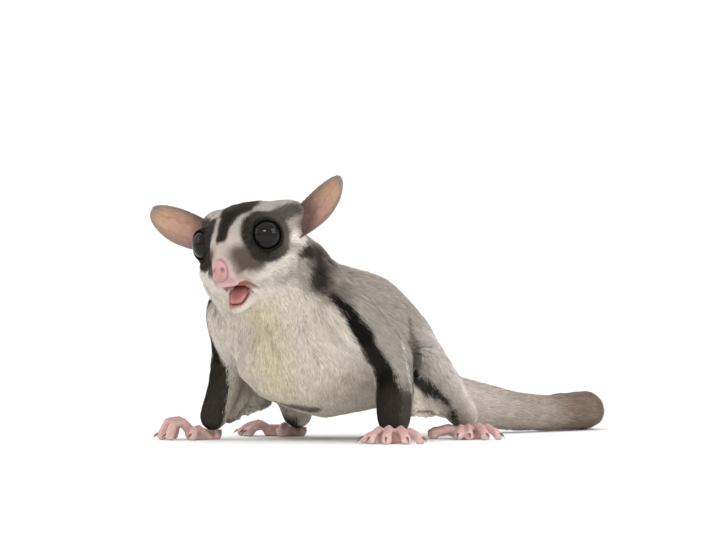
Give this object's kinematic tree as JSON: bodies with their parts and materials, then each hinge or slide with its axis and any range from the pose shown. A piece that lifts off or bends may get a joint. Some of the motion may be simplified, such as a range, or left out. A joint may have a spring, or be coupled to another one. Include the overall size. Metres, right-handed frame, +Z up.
{
  "type": "sugar glider",
  "caption": "Sugar glider standing on all fours, forequarters raised and mouth open, with large dark eyes, thin cupped ears, a dark stripe over the head and a long furred tail curling behind.",
  "frame": {"origin": "middle of the base of the bounding box, on the floor the animal stands on", "axes": "+Z up; the animal faces -Y, so the tail runs towards +Y; its left side is +X"},
  "size_m": [0.1037, 0.2313, 0.0858],
  "materials": {
    "grey_fur": "short soft fur",
    "dark_fur": "short soft fur",
    "tail_end_fur": "bushy fur",
    "pink_skin": "soft matt",
    "ear_skin": "thin, matt",
    "mouth_skin": "moist satin",
    "eye_black": "wet gloss"
  },
  "bodies": {
    "root": {"ear_left": "ear_skin", "ear_right": "ear_skin", "eye_left": "eye_black", "eye_right": "eye_black", "foot_left": "pink_skin", "foot_right": "pink_skin", "forearm_left": "dark_fur", "forearm_right": "dark_fur", "hand_left": "pink_skin", "hand_right": "pink_skin", "head": "grey_fur", "lower_jaw": "grey_fur", "neck": "grey_fur", "nose": "pink_skin", "patagium_left": "grey_fur", "patagium_right": "grey_fur", "shank_left": "dark_fur", "shank_right": "dark_fur", "tail_base": "grey_fur", "tail_middle": "grey_fur", "tail_tip": "tail_end_fur", "thigh_left": "grey_fur", "thigh_right": "grey_fur", "tongue": "mouth_skin", "torso": "grey_fur", "upper_arm_left": "grey_fur", "upper_arm_right": "grey_fur"}
  },
  "joints": []
}
